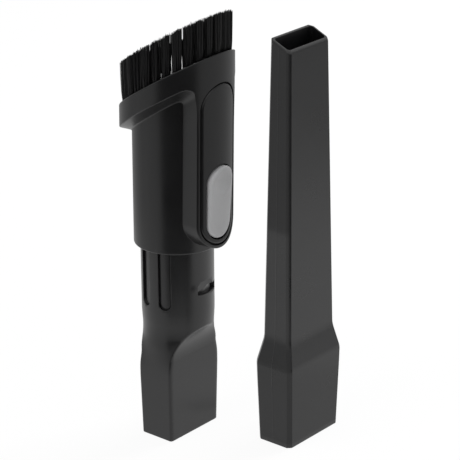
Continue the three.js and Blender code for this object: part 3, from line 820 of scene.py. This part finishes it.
# ----------------------------------------------------------------------------------------------------------
# Crevice nozzle
# The second tool, one hollow black moulding: a flared rectangular foot and a flat duct that tapers to a
# slanted tip. The mould's two halves leave a fine parting line down the middle of each narrow side.
# ----------------------------------------------------------------------------------------------------------
nozzle_low, nozzle_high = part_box("crevice_nozzle")
NOZZLE_AT = Vector(((nozzle_low.x + nozzle_high.x) / 2, (nozzle_low.y + nozzle_high.y) / 2, 0))
TIP_Z, TIP_SLOPE = 218.6, 0.456
PROFILE = (  # height, half width and half depth, from the floor to the tip
    (0.0, 21.0, 10.9), (36.0, 22.2, 11.75), (45.5, 22.4, 11.95), (59.0, 19.6, 9.0), (TIP_Z, 16.9, 6.45)
)
BEND_LENGTH = (0, 2.5, 1.6, 2.4, 0)  # how far each bend of the profile is rounded off, to either side
NOZZLE_WALL, NOZZLE_CORNER, BORE_CORNER = 1.9, 2.1, 1.2
FACET = 1.75  # at 1 the corners would be round, and at 2 they would be flat bevels
TIP_WALL, TIP_OVER, TIP_DROP, TIP_INNER = 1.75, 1.3, 1.3, 0.15  # the tip is rolled off towards its bore
# The parting line's small ridge: where it is across the side, and how far it stands out.
PARTING = ((-0.45, 0.0), (-0.2, 0.05), (-0.08, 0.13), (0.08, 0.13), (0.2, 0.05), (0.45, 0.0))


def nozzle_ring(half_x, half_y, corner, flat, parting):
    """A rounded oblong, its parting ridges this share of their height. flat gives each height from its y."""
    turns = steps(0, math.pi / 2, 10)
    bow = [(math.cos(a) ** FACET - 1, math.sin(a) ** FACET - 1) for a in turns]
    bow = [(half_x + corner * x, half_y + corner * y) for x, y in bow]
    side = [(half_x + up * parting, y) for y, up in PARTING]
    right = [(x, -y) for x, y in reversed(bow)] + side + bow
    return [Vector((x, y, flat(y))) for x, y in right + [(-x, y) for x, y in reversed(right)]]


def nozzle_sections(inset):
    """Heights and half sizes up the profile, its bends rounded off."""
    rows = []
    for i, here in enumerate(PROFILE):
        here = Vector(here)
        if not BEND_LENGTH[i]:
            rows.append(here)
            continue
        before, after = Vector(PROFILE[i - 1]), Vector(PROFILE[i + 1])
        a = here + (before - here) * BEND_LENGTH[i] / (here.x - before.x)
        b = here + (after - here) * BEND_LENGTH[i] / (after.x - here.x)
        rows += [bend(a, here, b, t) for t in steps(0, 1, 6)]
    return [(r.x, r.y - inset, r.z - inset) for r in rows]


def nozzle_tip(inset, corner, drop, parting=0.0):
    _, x, y = PROFILE[-1]
    return nozzle_ring(x - inset, y - inset, corner, lambda y: TIP_Z - drop + TIP_SLOPE * y, parting)


def nozzle_level(z, x, y, corner, parting=0.0):
    return nozzle_ring(x, y, corner, lambda _: z, parting)


_, foot_x, foot_y = PROFILE[0]
rings = []
for inset, z in reversed(rolled(RIM_ROUND, 0, 60, 2)):
    rings.append(nozzle_level(z, foot_x - inset, foot_y - inset, NOZZLE_CORNER))
rings += [nozzle_level(z, x, y, NOZZLE_CORNER, 1.0) for z, x, y in nozzle_sections(0)[1:-1]]
rings.append(nozzle_tip(0, NOZZLE_CORNER, TIP_DROP, 1.0))
for over, drop in rolled(1.0, 12, 84, 6):
    rings.append(nozzle_tip(TIP_OVER * over, NOZZLE_CORNER, TIP_DROP * drop))
rings += [nozzle_tip(TIP_WALL - left, BORE_CORNER, drop) for drop, left in rolled(TIP_INNER, 0, 90, 3)]
rings += [nozzle_level(z, x, y, BORE_CORNER) for z, x, y in reversed(nozzle_sections(NOZZLE_WALL)[1:-1])]
for inset, z in ((NOZZLE_WALL, RIM_ROUND), (NOZZLE_WALL - RIM_ROUND, 0.0)):
    rings.append(nozzle_level(z, foot_x - inset, foot_y - inset, BORE_CORNER))
crevice_nozzle = settle(as_piece(loft(rings, closed=True), "nozzle_moulding"), NOZZLE_AT)
# Black ABS from a coarser eroded tool: a dry, even grain that softens every reflection.
matte_abs = moulded("black_abs_matte_moulded", "#0d0d0e", "#111112", 0.29, 0.4, 0.003)
crevice_nozzle.data.materials.append(matte_abs)
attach(crevice_nozzle, "crevice")
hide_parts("crevice_nozzle")

# ----------------------------------------------------------------------------------------------------------
# Studio
# A white floor under soft white air, two soft lamps, and cards and screens that only reflections see: dark,
# grey and white ones by turns, so that the black plastic keeps its dark middle and its light edges.
# ----------------------------------------------------------------------------------------------------------
CAMERA_TURN, CAMERA_UP, CAMERA_ROLL = math.radians(-50.134), math.radians(21.727), math.radians(-0.431)
CAMERA_AT = Vector((-0.817665, -0.68873, 0.53924))
LENS = 173.33
FLOOR_HALF, FLOOR_Z = 6.0, -0.0001  # it lies a hair below the tools' feet
SHADOW_SHARE = 0.07  # of the floor's look is lit paper, which keeps a faint shadow; the rest is plain white
AIR_GLOW = 0.65
PURE_WHITE = (1, 1, 1, 1)


def seen_plainly(tree):
    """1 where the eye looks, straight or in a reflection or through something, and 0 for soft light."""
    ray = add(tree, "ShaderNodeLightPath")
    seen = ray.outputs["Is Camera Ray"]
    for kind in ("Is Glossy Ray", "Is Transmission Ray"):
        seen = add(tree, "ShaderNodeMath", {0: seen, 1: ray.outputs[kind]}, operation="MAXIMUM").outputs[0]
    return seen


bm = bmesh.new()
at_floor = Matrix.Translation((0, 0, FLOOR_Z))
bmesh.ops.create_grid(bm, x_segments=2, y_segments=2, size=FLOOR_HALF, matrix=at_floor)
floor = as_piece(bm, "floor")
# White paper: dull, and as bright to the eye as the air round it, so that no edge of it shows.
paper, tree = bare_material("white_paper_sweep")
matt = add(tree, "ShaderNodeBsdfDiffuse", {"Color": linear("#e6e6e6")})
white = add(tree, "ShaderNodeEmission", {"Color": PURE_WHITE, "Strength": 1.0})
plain = add(tree, "ShaderNodeMath", {0: seen_plainly(tree), 1: 1 - SHADOW_SHARE}, operation="MULTIPLY")
both = add(tree, "ShaderNodeMixShader", {0: plain.outputs[0], 1: matt.outputs[0], 2: white.outputs[0]})
add(tree, "ShaderNodeOutputMaterial", {"Surface": both.outputs[0]})
floor.data.materials.append(paper)


def card(bm, name, glow):
    """A card that only reflections see: the camera, the soft light and the shadows pass it by."""
    made = as_piece(bm, name)
    paint, tree = bare_material(name + "_face")
    face = add(tree, "ShaderNodeEmission", {"Color": PURE_WHITE, "Strength": glow})
    add(tree, "ShaderNodeOutputMaterial", {"Surface": face.outputs[0]})
    made.data.materials.append(paint)
    made.visible_camera = made.visible_diffuse = made.visible_transmission = made.visible_shadow = False


def fan(near, far, turn, spread, height):
    """A flat sheet over the floor, between two distances from the tools and spread about a turn."""
    bm = bmesh.new()
    start = math.radians(turn - spread)
    ends = [bm.verts.new((math.sin(start) * d, -math.cos(start) * d, height)) for d in (near, far)]
    edge, sweep = bm.edges.new(ends), math.radians(2 * spread)
    bmesh.ops.spin(bm, geom=[edge, *ends], cent=(0, 0, 0), axis=(0, 0, 1), angle=sweep, steps=24)
    return bm


def screen(middle, half, low, high):
    """An upright sheet over a point of the floor, as wide as a step to either side."""
    bm = bmesh.new()
    edge = bm.edges.new([bm.verts.new(middle + side * half + Vector((0, 0, low))) for side in (-1, 1)])
    grown = bmesh.ops.extrude_edge_only(bm, edges=[edge])["geom"]
    top = [g for g in grown if isinstance(g, bmesh.types.BMVert)]
    bmesh.ops.translate(bm, vec=(0, 0, high - low), verts=top)
    return bm


def drum(radius, height):
    """A low wall all round the floor."""
    bm = bmesh.new()
    edge = bm.edges.new([bm.verts.new((radius, 0, z)) for z in (0.0, height)])
    bmesh.ops.spin(bm, geom=[edge, *edge.verts], cent=(0, 0, 0), axis=(0, 0, 1), angle=2 * math.pi, steps=48)
    return bm


WALL_R, WALL_HIGH = 3.0, 1.6
# Each flat card: its nearest and furthest reach in metres, the turn that it lies at and its spread to either
# side in degrees, its height over the floor in millimetres, where the highest covers the rest, and its glow.
for name, near, far, turn, spread, height, glow in (
    ("pale_paper_all_round", 0.0, WALL_R, 0, 180, 1, 0.85),
    ("dark_card_in_front", 0.19, WALL_R, -50, 40, 3, 0.03),
    ("grey_card_at_the_left", 0.3, WALL_R, -115, 25, 2, 0.6),
    ("grey_card_behind", 0.3, WALL_R, -180, 40, 2, 0.47),
    ("grey_card_at_the_right", 0.42, WALL_R, 60, 40, 2, 0.7),
    ("dim_card_at_the_right", 0.5, WALL_R, 60, 40, 2.5, 0.46),
    ("grey_paper_at_the_feet", 0.0, 0.125, 45, 60, 2.5, 0.7),
    ("dark_card_before_the_nozzle", 0.13, 0.18, -27, 6, 3, 0.05),
    ("dim_card_ahead", 0.29, WALL_R, 3, 13, 2.8, 0.52),
):
    card(fan(near, far, turn, spread, height * MM), name, glow)

# The screens stand between the tools: one square to the line from tool to tool, and one along the nozzle's
# narrow side. Each is in steps of height, in millimetres, with their own glow.
between = (NOZZLE_AT - BRUSH_AT).normalized()
by_brush, brush_half = BRUSH_AT + between * 0.0355, Vector((-between.y, between.x, 0)) * 0.034
by_nozzle, nozzle_half = NOZZLE_AT - Vector((0.0245, 0, 0)), Vector((0, 0.017, 0))
for name, middle, half, low, high, glow in (
    ("white_screen_to_the_barrel", by_brush, brush_half, 2, 108, 0.9),
    ("grey_screen_to_the_sleeve", by_brush, brush_half, 108, 250, 0.5),
    ("grey_screen_to_the_foot", by_nozzle, nozzle_half, 2, 43, 0.73),
    ("grey_screen_to_the_flare", by_nozzle, nozzle_half, 43, 58, 0.58),
    ("grey_screen_to_the_duct", by_nozzle, nozzle_half, 58, 117, 0.9),
    ("grey_screen_to_the_tip", by_nozzle, nozzle_half, 117, 250, 0.6),
):
    card(screen(middle, half, low * MM, high * MM), name, glow)
card(drum(WALL_R, WALL_HIGH), "grey_wall_all_round", 0.5)


AIM = Vector((0, 0, 0.12))  # halfway up the tools


def lamp(name, turn, rise, distance, size, power):
    """A soft square lamp aimed at the tools, which reflections don't see."""
    light = bpy.data.lights.new(name, "AREA")
    light.energy, light.size = power, size
    stand = bpy.data.objects.new(name, light)
    stand.visible_glossy = False
    bpy.context.scene.collection.objects.link(stand)
    a, e = math.radians(turn), math.radians(rise)
    away = Vector((math.sin(a) * math.cos(e), -math.cos(a) * math.cos(e), math.sin(e)))
    facing = away.to_track_quat("Z", "Y").to_matrix().to_4x4()
    stand.matrix_world = Matrix.Translation(AIM + away * distance) @ facing


lamp("key_lamp_left", -105, 48, 1.3, 0.7, 5)
lamp("fill_lamp_right", 78, 30, 1.5, 0.8, 24)

world = bpy.data.worlds.new("studio_air")
bpy.context.scene.world = world
world.use_nodes = True
tree = world.node_tree
tree.nodes.clear()
air = add(tree, "ShaderNodeBackground", {"Color": PURE_WHITE, "Strength": AIR_GLOW})
backdrop = add(tree, "ShaderNodeBackground", {"Color": PURE_WHITE, "Strength": 1.0})
both = add(tree, "ShaderNodeMixShader", {0: seen_plainly(tree), 1: air.outputs[0], 2: backdrop.outputs[0]})
add(tree, "ShaderNodeOutputWorld", {"Surface": both.outputs[0]})

camera = bpy.data.cameras.new("camera")
camera.sensor_width, camera.lens = 36, LENS
viewer = bpy.data.objects.new("camera", camera)
bpy.context.scene.collection.objects.link(viewer)
back = Vector(
    (
        math.sin(CAMERA_TURN) * math.cos(CAMERA_UP),
        -math.cos(CAMERA_TURN) * math.cos(CAMERA_UP),
        math.sin(CAMERA_UP),
    )
)
right = Vector((math.cos(CAMERA_TURN), math.sin(CAMERA_TURN), 0))
up = back.cross(right)
roll_right = right * math.cos(CAMERA_ROLL) + up * math.sin(CAMERA_ROLL)
roll_up = up * math.cos(CAMERA_ROLL) - right * math.sin(CAMERA_ROLL)
pose = Matrix((roll_right, roll_up, back)).transposed().to_4x4()
viewer.matrix_world = Matrix.Translation(CAMERA_AT) @ pose
bpy.context.scene.camera = viewer
bpy.context.scene.view_settings.view_transform = "Standard"

bpy.context.view_layer.update()
